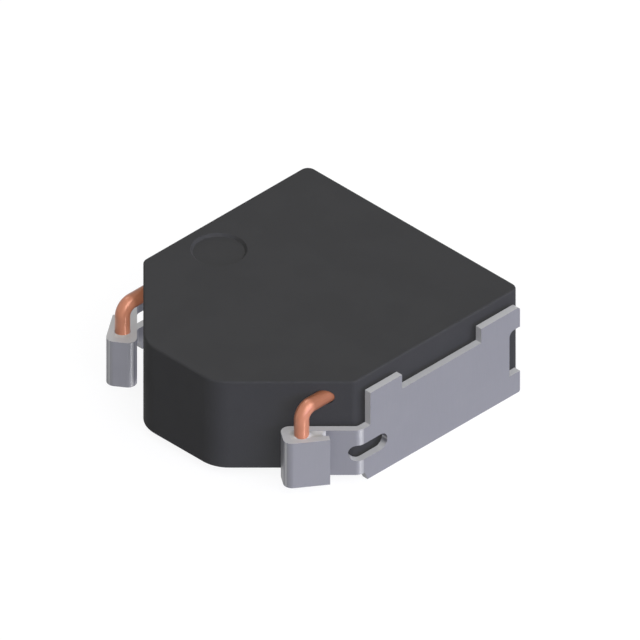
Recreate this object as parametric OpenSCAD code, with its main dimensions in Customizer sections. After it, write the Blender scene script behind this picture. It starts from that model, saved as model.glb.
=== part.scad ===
// Shielded surface mount inductor: a drum core with a round copper wire
// winding inside a moulded magnetic shield, and two formed sheet terminals
// that clip round the wire ends. Millimetres. Z = 0 is the board surface,
// the two corner cuts face -Y, and the part is mirrored about X = 0.

/* [Shield body] */
// Width of the shield body, across the terminal faces
body_w = 9.64; // [9.2:0.02:10.6]
// Length of the shield body, from the nose to the back
body_l = 10.72; // [10.2:0.02:11.6]
// Leg of the 45 degree cut at the two nose corners
corner_cut = 3.22; // [2.8:0.01:3.3]
// Rounding where the nose face meets the corner cuts
nose_r = 1.25; // [0.8:0.05:1.6]
// Rounding of the other upright edges
side_r = 0.3; // [0.15:0.05:0.4]
// Rounding of the top edge
top_r = 0.07; // [0.04:0.01:0.14]
// Bevel of the bottom edge
foot_bevel = 0.03; // [0.02:0.01:0.12]
// Thickness of the shield above the core
cap_t = 0.4; // [0.4:0.05:0.8]
// Thinnest wall of the shield beside the core
wall_t = 0.43; // [0.4:0.01:0.6]

/* [Start of winding dimple] */
// Radius of the dimple at its rim
dimple_r = 0.92; // [0.6:0.02:1.1]
// Depth of the dimple
dimple_depth = 0.14; // [0.08:0.01:0.16]
// Width of the dimple's sloping rim
dimple_slope = 0.12; // [0.05:0.01:0.2]
// Distance of the dimple's centre from the side face
dimple_inset = 1.3; // [1.2:0.05:2]

/* [Drum core] */
// Thickness of the core's base flange
base_flange_t = 0.5; // [0.4:0.05:0.8]
// Thickness of the core's top flange
top_flange_t = 0.42; // [0.35:0.05:0.6]
// Rounding of the flange rims
rim_r = 0.1; // [0.04:0.02:0.16]
// Gap between the base flange and the shield, which the seal ring fills
seal_w = 0.32; // [0.2:0.02:0.45]
// How far the seal ring stays below the underside
seal_dip = 0.08; // [0.04:0.02:0.2]

/* [Winding] */
// Diameter of the wire
wire_d = 0.5; // [0.44:0.01:0.51]
// Rows of turns up the post, always even
wire_rows = 4; // [4]
// Turns in each row
row_turns = 2.5; // [2.5]
// Depth of the lead's centre line below the top face
lead_drop = 0.61; // [0.58:0.01:0.7]
// Bend radius of the lead outside the shield, at its centre line
lead_bend_r = 0.4; // [0.35:0.05:0.7]
// Sides of the wire's section
wire_sides = 10; // [8:2:12]

/* [Terminals] */
// Thickness of the terminal sheet
sheet_t = 0.25; // [0.2:0.01:0.3]
// Bond line between the shield and the terminal
bond_t = 0.2; // [0.15:0.01:0.25]
// Depth of the tab tops below the top face
tab_drop = 0.34; // [0.3:0.01:0.5]
// Depth of the recess between the tabs
tab_recess = 0.55; // [0.4:0.05:0.7]
// Width of the tab beside the arm
front_tab_w = 1.44; // [1.1:0.01:1.6]
// Width of the tab at the back end
back_tab_w = 1.76; // [1.5:0.01:2]
// Setback of the terminal's back end from the back of the shield
back_setback = 0.43; // [0.3:0.01:0.6]
// Depth of the notch in the back end
end_notch_w = 0.48; // [0.3:0.02:0.6]
// Bottom of the notch in the back end, above the board
end_notch_z = 0.84; // [0.6:0.02:1]
// Top of the notch in the back end, above the board
end_notch_top = 2.58; // [2.3:0.02:2.62]
// Bottom of the arm, above the board
arm_z = 0.35; // [0.33:0.01:0.42]
// Height of the arm and of the crimp
arm_h = 1.75; // [1.6:0.05:1.9]
// Step from the bend to the front tab
tab_step = 0.26; // [0.22:0.01:0.4]
// Step from the bend to the full height of the plain left plate
plain_step = 0.55; // [0.4:0.01:0.8]
// Bottom of the slot across the bend, above the board
slot_z = 0.89; // [0.8:0.01:1]
// Height of the slot
slot_h = 0.61; // [0.5:0.01:0.65]
// Length of the slot on the plate, from the bend
slot_plate_l = 1.03; // [0.8:0.01:1.2]
// How far round the bend the centre of the slot's other end lies, in degrees
slot_turn = 34; // [30:1:45]
// Width of the foot under the shield
foot_w = 2.15; // [1.8:0.05:2.4]
// Setback of the foot from both ends of the plate
foot_setback = 0.55; // [0.4:0.05:0.8]
// Gap between the foot and the underside of the shield
foot_gap = 0.05; // [0.02:0.01:0.08]
// Rounding of the fold between plate and foot, outside
fold_r = 0.05; // [0.03:0.01:0.15]
// Rounding of the plate's corners at its back end
tab_corner_r = 0.12; // [0.05:0.01:0.2]
// Rounding at the top of the notch in the back end
notch_r = 0.22; // [0.1:0.01:0.3]
// Run of the slope from the plate's bottom up to the arm
arm_slope = 0.16; // [0.1:0.01:0.25]
// Distance of the bonded layer from the edges of the plate
bond_edge = 0.3; // [0.25:0.01:0.4]

/* [Crimp] */
// Tilt of the crimp's flap towards the arm, in degrees
flap_tilt = 10; // [6:1:11]
// Length of the flap
flap_l = 1.19; // [1.1:0.01:1.35]
// Inside radius of the crimp's two corners
crimp_r = 0.05; // [0.03:0.01:0.08]
// Distance of the wire from the crimp's closed end
wire_inset = 0.67; // [0.62:0.01:0.72]
// How deep the wire beds into the sheet on each side
wire_bed = 0.03; // [0.01:0.01:0.04]
// How far the wire's end stays above the bottom of the crimp
wire_short = 0.15; // [0.05:0.05:0.3]
// Length of the solder along the crimp
solder_l = 1.15; // [0.9:0.01:1.18]

/* [Hidden] */

wire_gap = 0.02;      // between neighbouring turns
lead_gap = 0.03;      // round a lead in its passage
pocket_gap = 0.06;    // between a lead and the pocket's wall and ceiling
start_gap = 0.05;     // between the post and the first turn
flange_gap = 0.12;    // between a lead and the rim of the top flange
seal_gap = 0.04;      // between the seal ring and the top of the base flange
bore_gap = 0.01;      // round the wire in its crimp
cut = 0.5;            // how far a cutting tool runs past a face
lap = 0.2;            // how far the bend runs on into the plate
arc_step = 7.5;       // degrees between the points of a bend in the sheet
corner_steps = 5;     // facets of each rounded edge of the shield

// Levels
board = 0;
body_z = sheet_t + foot_gap;
window_h = wire_rows * (wire_d + wire_gap / 2) + wire_gap;
core_h = base_flange_t + window_h + top_flange_t;
body_h = core_h + wire_gap + cap_t;
top_z = body_z + body_h;
core_z = body_z;
window_z = core_z + base_flange_t;
ceiling_z = core_z + core_h + wire_gap;
lead_z = top_z - lead_drop;
lead_ceiling_z = lead_z + wire_d / 2 + pocket_gap;

// Radii round the post, from the shield's side inwards
turn_pitch = wire_d + wire_gap;
row_pitch = wire_d + wire_gap / 2;
pocket_r = body_w / 2 - wall_t;
lead_r = pocket_r - pocket_gap - wire_d / 2;
coil_out_r = lead_r - wire_d - lead_gap;
coil_in_r = coil_out_r - row_turns * turn_pitch;
post_r = coil_in_r - wire_d / 2 - start_gap;
top_flange_r = lead_r - wire_d / 2 - flange_gap;
base_flange_r = pocket_r - seal_w;

// Plan of the shield body
half_w = body_w / 2;
half_l = body_l / 2;
nose_half = half_w - corner_cut;
cut_n = (half_w + half_l - corner_cut) / sqrt(2);   // corner cut from the Z axis

// Plan of the terminal, as n (out from the corner cut) and s (along it)
plate_in = half_w + bond_t;
plate_out = plate_in + sheet_t;
arm_in = cut_n + bond_t;
arm_out = arm_in + sheet_t;
bend_r = bond_t;
bend_y = -half_l + corner_cut;
plate_end = half_l - back_setback;
tab_top = top_z - tab_drop;
front_tab_y = bend_y + tab_step;
arm_top = arm_z + arm_h;

// The wire in its crimp: it comes straight out of the shield beside the coil
wire_end_z = arm_z + wire_short;
crimp_gap = wire_d - 2 * wire_bed;
wire_n = arm_out + crimp_gap / 2;
wire_s = sqrt(2) * lead_r - wire_n;
lead_y = (wire_s - wire_n) / sqrt(2);
crimp_s = wire_s - wire_inset + sheet_t + crimp_r;
crimp_n = arm_out + crimp_r;
end_l = cos(flap_tilt) * (crimp_gap - crimp_r + tan(flap_tilt) * (wire_s - crimp_s)) - crimp_r;
end_dir = [cos(flap_tilt), sin(flap_tilt)];
flap_dir = [-sin(flap_tilt), cos(flap_tilt)];
corner_1 = [crimp_n, crimp_s];
corner_2 = corner_1 + end_l * end_dir;

function unit(v) = v / norm(v);
function reversed(list) = [for (i = [len(list) - 1 : -1 : 0]) list[i]];

// Points of an arc about c, from the angle a to the angle b
function arc(c, r, a, b) =
    let (steps = max(2, ceil(abs(b - a) / arc_step)))
    [for (i = [0 : steps]) let (t = a + (b - a) * i / steps) c + r * [cos(t), sin(t)]];

// Shield body

// Rounded upright edges of the shield: centre, radius, and first angle and
// turn of the arc, going round by way of the back
side_x = half_w - side_r;
side_y = half_l - side_r;
shoulder_y = side_x - sqrt(2) * (cut_n - side_r);
nose_y = half_l - nose_r;
nose_x = sqrt(2) * (cut_n - nose_r) - nose_y;
body_edges = [[[side_x, side_y], side_r, 0, 90],
              [[-side_x, side_y], side_r, 90, 90],
              [[-side_x, shoulder_y], side_r, 180, 45],
              [[-nose_x, -nose_y], nose_r, 225, 45],
              [[nose_x, -nose_y], nose_r, 270, 45],
              [[side_x, shoulder_y], side_r, 315, 45]];

// Outline of the shield at the height z, moved inwards by inset
function body_ring(z, inset) =
    [for (e = body_edges) for (i = [0 : corner_steps])
        let (t = e[2] + e[3] * i / corner_steps, r = e[1] - inset)
        [e[0][0] + r * cos(t), e[0][1] + r * sin(t), z]];

// The outside of the shield: bevel, upright faces, and rounded top edge
module body_outside() {
    rings = concat(
        [body_ring(body_z, foot_bevel), body_ring(body_z + foot_bevel, 0)],
        [for (i = [0 : corner_steps]) let (a = 90 * i / corner_steps)
            body_ring(top_z - top_r * (1 - sin(a)), top_r * (1 - cos(a)))]);
    n = len(rings[0]);
    last = len(rings) - 1;
    polyhedron(
        [for (ring = rings) each ring],
        concat(
            [[for (i = [0 : n - 1]) i]],
            [for (k = [0 : last - 1]) for (i = [0 : n - 1])
                [k * n + i, (k + 1) * n + i, (k + 1) * n + (i + 1) % n, k * n + (i + 1) % n]],
            [[for (i = [n - 1 : -1 : 0]) last * n + i]]));
}

// Shallow round mark in the top face, on the side where the winding starts
module dimple() {
    translate([-half_w + dimple_inset, 0, 0])
        rotate_extrude($fn = 64)
            polygon([[0, top_z - dimple_depth],
                     [dimple_r - dimple_slope, top_z - dimple_depth],
                     [dimple_r + dimple_slope, top_z + dimple_depth],
                     [0, top_z + dimple_depth]]);
}

// Round pocket for the core, open below, with a higher ring for the leads
module core_pocket() {
    rotate_extrude($fn = 128)
        polygon([[0, body_z - cut], [pocket_r, body_z - cut],
                 [pocket_r, lead_ceiling_z], [top_flange_r + lead_gap, lead_ceiling_z],
                 [top_flange_r + lead_gap, ceiling_z], [0, ceiling_z]]);
}

// Round passage for one lead, from the pocket out through the corner cut
module lead_passage(side) {
    translate([side * lead_r, 0, lead_z])
        rotate([90, 0, 0])
            cylinder(r = wire_d / 2 + lead_gap, h = half_l, $fn = 48);
}

module shield_body() {
    color([0.25, 0.25, 0.26])
        difference() {
            body_outside();
            core_pocket();
            dimple();
            for (side = [-1, 1]) lead_passage(side);
        }
}

// Drum core: a post between a base flange and a narrower top flange
module drum_core() {
    color([0.2, 0.2, 0.21])
        rotate_extrude($fn = 128)
            polygon([[0, core_z],
                     [base_flange_r - rim_r, core_z],
                     [base_flange_r, core_z + rim_r],
                     [base_flange_r, window_z],
                     [post_r, window_z],
                     [post_r, window_z + window_h],
                     [top_flange_r, window_z + window_h],
                     [top_flange_r, core_z + core_h - rim_r],
                     [top_flange_r - rim_r, core_z + core_h],
                     [0, core_z + core_h]]);
}

// Resin ring that fills the gap between base flange and shield
module seal_ring() {
    color([0.16, 0.15, 0.14])
        rotate_extrude($fn = 128)
            polygon([[base_flange_r, core_z + rim_r + seal_dip],
                     [base_flange_r + seal_w / 2, core_z + rim_r + seal_dip * 1.6],
                     [pocket_r, core_z + rim_r + seal_dip],
                     [pocket_r, window_z - seal_gap],
                     [base_flange_r, window_z - seal_gap]]);
}

// Winding: one wire from crimp to crimp, in flat rows that run in and out

lead_fall = 50;       // degrees over which the first lead sinks to the top row
lead_in = 40;         // degrees over which it closes on the coil
row_step = 60;        // degrees over which the wire drops to the next row
lead_out = 50;        // degrees over which the last turn opens out again
row_angle = 360 * row_turns;
rows_start = lead_fall + lead_in;
rows_end = rows_start + wire_rows * row_angle + (wire_rows - 1) * row_step;
climb_start = rows_end + lead_out;
climb_end = 360 * ceil((climb_start - 90) / 360) + 180;
ring_step = 18;       // degrees between rings along the coil

function ease(u) = (1 - cos(180 * min(max(u, 0), 1))) / 2;
function row_z(row) = window_z + wire_gap + wire_d / 2 + (wire_rows - 1 - row) * row_pitch;

// Radius and height of the wire in the rows, at the angle b past their start
function in_rows(b) =
    let (row = min(floor(b / (row_angle + row_step)), wire_rows - 1),
         turn = min((b - row * (row_angle + row_step)) / row_angle, 1),
         drop = (b - row * (row_angle + row_step) - row_angle) / row_step,
         run = row % 2 == 0 ? 1 - turn : turn)
    [coil_in_r + run * (coil_out_r - coil_in_r),
     row_z(row) - (row < wire_rows - 1 ? ease(drop) * row_pitch : 0)];

// Radius and height of the wire at any angle of the coil
function coil_rz(a) =
    a < rows_start
        ? [lead_r - ease((a - lead_fall) / lead_in) * (lead_r - coil_out_r),
           lead_z - ease(a / lead_fall) * (lead_z - row_z(0))]
    : a < rows_end
        ? in_rows(a - rows_start)
    : [coil_out_r + ease((a - rows_end) / lead_out) * (lead_r - coil_out_r),
       row_z(wire_rows - 1)
       + ease((a - climb_start) / (climb_end - climb_start)) * (lead_z - row_z(wire_rows - 1))];

function coil_point(a) =
    let (p = coil_rz(a)) [p[0] * cos(a), p[0] * sin(a), p[1]];

// One lead from the bottom of its crimp to the coil, for the side 1 or -1
function lead_points(side) = concat(
    [[side * lead_r, lead_y, wire_end_z],
     [side * lead_r, lead_y, arm_top]],
    [for (a = [0 : 11.25 : 90])
        [side * lead_r,
         lead_y + lead_bend_r * (1 - cos(a)),
         lead_z - lead_bend_r * (1 - sin(a))]],
    [[side * lead_r, -0.5 * half_l, lead_z],
     [side * lead_r, -0.3 * half_l, lead_z],
     [side * lead_r, -0.12 * half_l, lead_z]]);

coil_steps = ceil(climb_end / ring_step);
wire_path = concat(
    lead_points(1),
    [for (i = [0 : coil_steps]) coil_point(climb_end * i / coil_steps)],
    reversed(lead_points(-1)));

// Direction of a path at one of its points
function path_dir(path, i) =
    unit(path[min(i + 1, len(path) - 1)] - path[max(i - 1, 0)]);

// Sideways direction of each ring, carried along the path without twist
function carried(path, i, prev) =
    let (t = path_dir(path, i)) unit(prev - (prev * t) * t);
function side_dirs(path, i = 0, prev = [1, 0, 0], done = []) =
    i == len(path) ? done
    : let (s = carried(path, i, prev)) side_dirs(path, i + 1, s, concat(done, [s]));

// Round tube along a path
module tube(path, r, sides) {
    n = len(path);
    dirs = side_dirs(path);
    rings = [for (i = [0 : n - 1], k = [0 : sides - 1])
        let (t = path_dir(path, i), b = cross(t, dirs[i]), a = 360 * k / sides)
        path[i] + r * (cos(a) * dirs[i] + sin(a) * b)];
    walls = [for (i = [0 : n - 2], k = [0 : sides - 1])
        let (k2 = (k + 1) % sides)
        each [[i * sides + k, (i + 1) * sides + k, (i + 1) * sides + k2],
              [i * sides + k, (i + 1) * sides + k2, i * sides + k2]]];
    ends = [[for (k = [0 : sides - 1]) k],
            [for (k = [sides - 1 : -1 : 0]) (n - 1) * sides + k]];
    polyhedron(rings, concat(walls, ends), convexity = 10);
}

module winding() {
    color([0.82, 0.57, 0.47])
        tube(wire_path, wire_d / 2, wire_sides);
}

// Terminal, drawn on the right side and mirrored for the left

// Places given as n (out from the right corner cut) and s (along it), in plan
function from_ns(points) =
    [for (p = points) [(p[0] + p[1]) / sqrt(2), (p[1] - p[0]) / sqrt(2)]];

// One edge of the sheet in plan, from the plate round the bend, along the arm
// and round the crimp. It runs off beyond the side of the sheet that faces the
// shield, which is off = 0, or the other side, which is off = sheet_t.
function sheet_edge(off) =
    let (r_bend = bend_r + off,
         r_crimp = crimp_r + sheet_t - off)
    concat(
        [[plate_in + off, bend_y + lap]],
        arc([half_w, bend_y], r_bend, 0, -45),
        from_ns(concat(
            arc(corner_1, r_crimp, 180, 270 + flap_tilt),
            arc(corner_2, r_crimp, flap_tilt - 90, flap_tilt),
            [corner_2 + r_crimp * end_dir + flap_l * flap_dir])));

// Plan of the bend, the arm and the crimp
module arm_plan() {
    polygon(concat(sheet_edge(0), reversed(sheet_edge(sheet_t))));
}

// What a rounding takes off the corner at the origin, on the +X +Y side
module corner_waste(r) {
    difference() {
        translate([-cut, -cut]) square([r + cut, r + cut]);
        translate([r, r]) circle(r, $fn = 48);
    }
}

// Side plate as seen from outside, with its end notch. The right one has two
// tabs with a recess between them, and the left one a plain top edge.
module plate_outline(tabs) {
    top = tabs ? tab_top : tab_top - tab_recess;
    step = tabs ? tab_step : plain_step;
    difference() {
        translate([bend_y, board]) square([plate_end - bend_y, top - board]);
        // Recess between the tabs
        translate([front_tab_y + front_tab_w, tab_top - tab_recess])
            square([plate_end - back_tab_w - front_tab_y - front_tab_w, tab_recess + cut]);
        // Step down to the arm
        translate([bend_y - cut, arm_top]) square([step + cut, top]);
        // Slope up to the bottom of the arm
        polygon([[bend_y - cut, board - cut], [bend_y + arm_slope, board - cut],
                 [bend_y + arm_slope, board], [bend_y, arm_z], [bend_y - cut, arm_z]]);
        // Notch in the back end, rounded where its top meets its wall
        difference() {
            translate([plate_end - end_notch_w, end_notch_z])
                square([end_notch_w + cut, end_notch_top - end_notch_z]);
            translate([plate_end - end_notch_w, end_notch_top]) mirror([0, 1]) corner_waste(notch_r);
        }
        // Rounded outer corners
        translate([plate_end, board]) mirror([1, 0]) corner_waste(tab_corner_r);
        translate([plate_end, top]) mirror([1, 0]) mirror([0, 1]) corner_waste(tab_corner_r);
    }
}

// Slot across the bend, round at both ends
module slot_tool() {
    r = slot_h / 2;
    deep = bond_t + sheet_t + cut;
    slot_end = bend_y + slot_plate_l - r;
    // On the plate
    translate([half_w, bend_y - sheet_t, slot_z])
        cube([deep, slot_end - bend_y + sheet_t, slot_h]);
    translate([half_w, slot_end, slot_z + r])
        rotate([0, 90, 0]) cylinder(r = r, h = deep, $fn = 48);
    // Round the bend
    translate([half_w, bend_y, slot_z])
        linear_extrude(slot_h)
            polygon(concat([[0, 0]], arc([0, 0], deep, -slot_turn, 5)));
    translate([half_w, bend_y, slot_z + r])
        rotate([0, 90, -slot_turn]) cylinder(r = r, h = deep, $fn = 48);
}

// Foot folded under the shield
module foot() {
    translate([plate_out - foot_w, bend_y + foot_setback, board])
        cube([foot_w, plate_end - bend_y - 2 * foot_setback, sheet_t]);
}

// Waste outside the rounded fold between plate and foot
module fold_waste() {
    translate([plate_out - fold_r, plate_end + cut, board + fold_r])
        rotate([90, 0, 0])
            difference() {
                translate([0, -fold_r - cut, 0])
                    cube([fold_r + cut, fold_r + cut, plate_end - bend_y + 2 * cut]);
                translate([0, 0, -cut])
                    cylinder(r = fold_r, h = plate_end - bend_y + 4 * cut, $fn = 48);
            }
}

// Room for the wire where it beds into the crimp
module wire_bore() {
    translate([lead_r, lead_y, wire_end_z - bore_gap])
        cylinder(r = wire_d / 2 + bore_gap, h = arm_h + cut, $fn = 48);
}

module terminal(tabs) {
    color([0.66, 0.66, 0.7])
        difference() {
            union() {
                translate([plate_in, 0, 0])
                    rotate([90, 0, 90]) linear_extrude(sheet_t) plate_outline(tabs);
                translate([0, 0, arm_z]) linear_extrude(arm_h) arm_plan();
                foot();
            }
            slot_tool();
            fold_waste();
            wire_bore();
        }
}

module terminal_right() { terminal(true); }
module terminal_left() { mirror([1, 0, 0]) terminal(false); }

// Solder that fills the crimp round the wire
module solder() {
    in_r = crimp_r;
    out = [end_dir[1], -end_dir[0]];
    fill_s = crimp_s + solder_l;
    flap_s = corner_2[1] + in_r * end_dir[1];
    flap_n = corner_2[0] + in_r * end_dir[0] - tan(flap_tilt) * (fill_s - flap_s);
    color([0.72, 0.72, 0.74])
        difference() {
            translate([0, 0, arm_z])
                linear_extrude(arm_h)
                    rotate(-45)
                        polygon([[arm_out, crimp_s], [arm_out, fill_s], [flap_n, fill_s],
                                 corner_2 + in_r * end_dir, corner_2 + in_r * out,
                                 corner_1 + in_r * out]);
            wire_bore();
        }
}

module solder_right() { solder(); }
module solder_left() { mirror([1, 0, 0]) solder(); }

// Bonded layer between the shield's side and the terminal's plate
module bond() {
    bond_y = bend_y + slot_plate_l + bond_edge;
    bond_z = body_z + bond_edge;
    color([0.55, 0.53, 0.48])
        translate([half_w, bond_y, bond_z])
            cube([bond_t, plate_end - end_notch_w - bond_edge - bond_y,
                  tab_top - tab_recess - bond_edge - bond_z]);
}

module bond_right() { bond(); }
module bond_left() { mirror([1, 0, 0]) bond(); }

shield_body();
drum_core();
winding();
seal_ring();
terminal_right();
terminal_left();
solder_right();
solder_left();
bond_right();
bond_left();
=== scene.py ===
"""Looks for a shielded surface mount inductor.

A dark ferrite block holds a drum core and its winding. One bent sheet terminal stands on
each side, and its crimp grips the copper wire that comes out of the block's cut corner.
Shapes are worked out in millimetres in the part's own frame and scaled to metres last.
"""

from __future__ import annotations

import logging
import math
from dataclasses import dataclass
from enum import Enum
from functools import cache
from typing import Sequence
import bmesh
import bpy
from mathutils import Matrix, Vector, noise


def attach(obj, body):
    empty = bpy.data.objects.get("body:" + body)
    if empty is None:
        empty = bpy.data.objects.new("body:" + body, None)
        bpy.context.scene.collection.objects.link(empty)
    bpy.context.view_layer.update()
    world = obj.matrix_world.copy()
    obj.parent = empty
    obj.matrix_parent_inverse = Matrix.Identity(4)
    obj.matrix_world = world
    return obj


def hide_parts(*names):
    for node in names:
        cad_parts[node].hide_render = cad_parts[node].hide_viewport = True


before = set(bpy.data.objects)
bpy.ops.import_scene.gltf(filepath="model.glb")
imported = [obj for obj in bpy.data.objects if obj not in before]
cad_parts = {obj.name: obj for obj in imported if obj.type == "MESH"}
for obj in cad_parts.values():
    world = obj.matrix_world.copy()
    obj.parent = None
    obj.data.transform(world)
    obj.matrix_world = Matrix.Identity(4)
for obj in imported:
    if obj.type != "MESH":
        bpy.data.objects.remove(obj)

log = logging.getLogger("inductor")

# Metres in a millimetre
MM = 0.001
# The body that every piece rides on
BODY = "root"
# An edge that turns by more than this, in degrees, is rounded, and stays an edge in the shading
SHARP_ANGLE = 35.0
# Widest turn from point to point, in degrees, on fine, plain and small arcs
FINE_STEP, ROUND_STEP, CORNER_STEP = 3.0, 7.5, 10.0
# Points this near to each other, or to an axis, in millimetres, are one
MERGE_GAP, AXIS_GAP = 1e-5, 1e-9
# How far a face stays off another that it would share a plane with, in millimetres
HAIR = 1e-3
# A place in an outline, and two ends of a span
Point = tuple[float, float]
Pair = tuple[float, float]
Colour = tuple[float, float, float]
Object = bpy.types.Object
Tree = bpy.types.NodeTree
Socket = bpy.types.NodeSocket
Outputs = bpy.types.bpy_prop_collection
# What a mask does over its span
RISE: Pair = (0.0, 1.0)
FALL: Pair = (1.0, 0.0)
WHITE: Colour = (1.0, 1.0, 1.0)


class Side(Enum):
    """The two sides of the part, as seen with the nose towards the viewer."""

    RIGHT = 1
    LEFT = -1

    @property
    def word(self) -> str:
        """The side's name as it stands in node names."""
        return self.name.lower()


class Along(Enum):
    """The axis along which a flat outline is drawn out."""

    X = "x"
    Y = "y"
    Z = "z"

    def place(self, a: float, b: float, t: float) -> Vector:
        """Puts an outline's point and its place along the axis into space.

        Args:
            a: first outline coordinate, y for X and x for Y and Z.
            b: second outline coordinate, z for X and Y and y for Z.
            t: place along the axis.

        Returns:
            The point in the part's frame.
        """
        if self is Along.X:
            return Vector((t, a, b))
        if self is Along.Y:
            return Vector((a, t, b))
        return Vector((a, b, t))


class Join(Enum):
    """How one solid acts on another."""

    ADD = "UNION"
    CUT = "DIFFERENCE"


def arc(centre: Sequence[float], radius: float, start: float, end: float,
        step: float = FINE_STEP) -> list[Point]:
    """Points along an arc.

    Args:
        centre: its centre.
        radius: its radius.
        start: first angle in degrees.
        end: last angle in degrees.
        step: widest angle between two points.

    Returns:
        The points, with both ends.
    """
    count = max(2, math.ceil(abs(end - start) / step))
    angles = [math.radians(start + (end - start) * i / count) for i in range(count + 1)]
    return [(centre[0] + radius * math.cos(t), centre[1] + radius * math.sin(t)) for t in angles]


def circle(centre: Sequence[float], radius: float, start: float = 0.0) -> list[Point]:
    """Points round a whole circle, the first one at the start angle."""
    return arc(centre, radius, start, start + 360.0 - ROUND_STEP, ROUND_STEP)


def ease(share: float) -> float:
    """A smooth step from 0 to 1."""
    return (1.0 - math.cos(math.pi * min(max(share, 0.0), 1.0))) / 2.0


def link_new(name: str, data: bpy.types.ID) -> Object:
    """Makes an object for some data and links it to the scene.

    Args:
        name: the object's name.
        data: its mesh, light or camera.

    Returns:
        The object.
    """
    obj = bpy.data.objects.new(name, data)
    bpy.context.scene.collection.objects.link(obj)
    return obj


def look_back(obj: Object, back: Vector) -> None:
    """Turns a lamp or camera so that the given direction is straight behind it."""
    obj.rotation_mode = "QUATERNION"
    obj.rotation_quaternion = back.to_track_quat("Z", "Y")


@dataclass(frozen=True)
class Sizes:
    """The part's sizes in millimetres, as its solids have them."""

    half_w: float = 4.82
    half_l: float = 5.36
    corner_cut: float = 3.22
    nose_r: float = 1.25
    side_r: float = 0.3
    top_r: float = 0.07
    foot_bevel: float = 0.03
    body_z: float = 0.3
    top_z: float = 3.7
    sheet_t: float = 0.25
    bond_t: float = 0.2
    wire_d: float = 0.5
    lead_r: float = 4.08
    lead_z: float = 3.09
    lead_gap: float = 0.03
    pocket_gap: float = 0.06
    arm_z: float = 0.35
    arm_h: float = 1.75
    wire_short: float = 0.15
    wire_bed: float = 0.03
    wire_inset: float = 0.67
    crimp_r: float = 0.05
    flap_tilt: float = 10.0
    flap_l: float = 1.19

    @property
    def cut_n(self) -> float:
        """Distance of a corner cut from the Z axis."""
        return (self.half_w + self.half_l - self.corner_cut) / math.sqrt(2.0)

    @property
    def bend_y(self) -> float:
        """Where the body's side ends and its corner cut begins."""
        return self.corner_cut - self.half_l

    @property
    def pocket_r(self) -> float:
        """Radius of the pocket for the core."""
        return self.lead_r + self.wire_d / 2 + self.pocket_gap

    @property
    def plate_in(self) -> float:
        """The plate's face towards the body."""
        return self.half_w + self.bond_t

    @property
    def plate_out(self) -> float:
        """The plate's outer face."""
        return self.plate_in + self.sheet_t

    @property
    def arm_out(self) -> float:
        """The arm's outer face, along the corner cut's normal."""
        return self.cut_n + self.bond_t + self.sheet_t

    @property
    def arm_top(self) -> float:
        """Top edge of the arm and of the crimp."""
        return self.arm_z + self.arm_h

    @property
    def crimp_gap(self) -> float:
        """Room between arm and flap at the wire."""
        return self.wire_d - 2 * self.wire_bed

    @property
    def wire_n(self) -> float:
        """The upright wire's place along the corner cut's normal."""
        return self.arm_out + self.crimp_gap / 2

    @property
    def wire_s(self) -> float:
        """The upright wire's place along the corner cut."""
        return math.sqrt(2.0) * self.lead_r - self.wire_n

    @property
    def lead_y(self) -> float:
        """The upright wire's place along Y."""
        return (self.wire_s - self.wire_n) / math.sqrt(2.0)

    @property
    def end_dir(self) -> Vector:
        """Direction of the crimp's closed end, from the arm to the flap."""
        tilt = math.radians(self.flap_tilt)
        return Vector((math.cos(tilt), math.sin(tilt)))

    @property
    def flap_dir(self) -> Vector:
        """Direction of the flap, from the closed end to its free end."""
        return Vector((-self.end_dir.y, self.end_dir.x))

    @property
    def corner_1(self) -> Vector:
        """Centre of the crimp's bend beside the arm."""
        return Vector((self.arm_out + self.crimp_r,
                       self.wire_s - self.wire_inset + self.sheet_t + self.crimp_r))

    @property
    def corner_2(self) -> Vector:
        """Centre of the crimp's bend beside the flap.

        Returns:
            The centre, out from and along the corner cut.
        """
        tilt = math.radians(self.flap_tilt)
        reach = self.crimp_gap - self.crimp_r + math.tan(tilt) * (self.wire_s - self.corner_1.y)
        return self.corner_1 + (math.cos(tilt) * reach - self.crimp_r) * self.end_dir

    def from_ns(self, n: float, s: float) -> Point:
        """A place by its distances out from and along the right corner cut, in plan."""
        return ((n + s) / math.sqrt(2.0), (s - n) / math.sqrt(2.0))


SIZES = Sizes()


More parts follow.
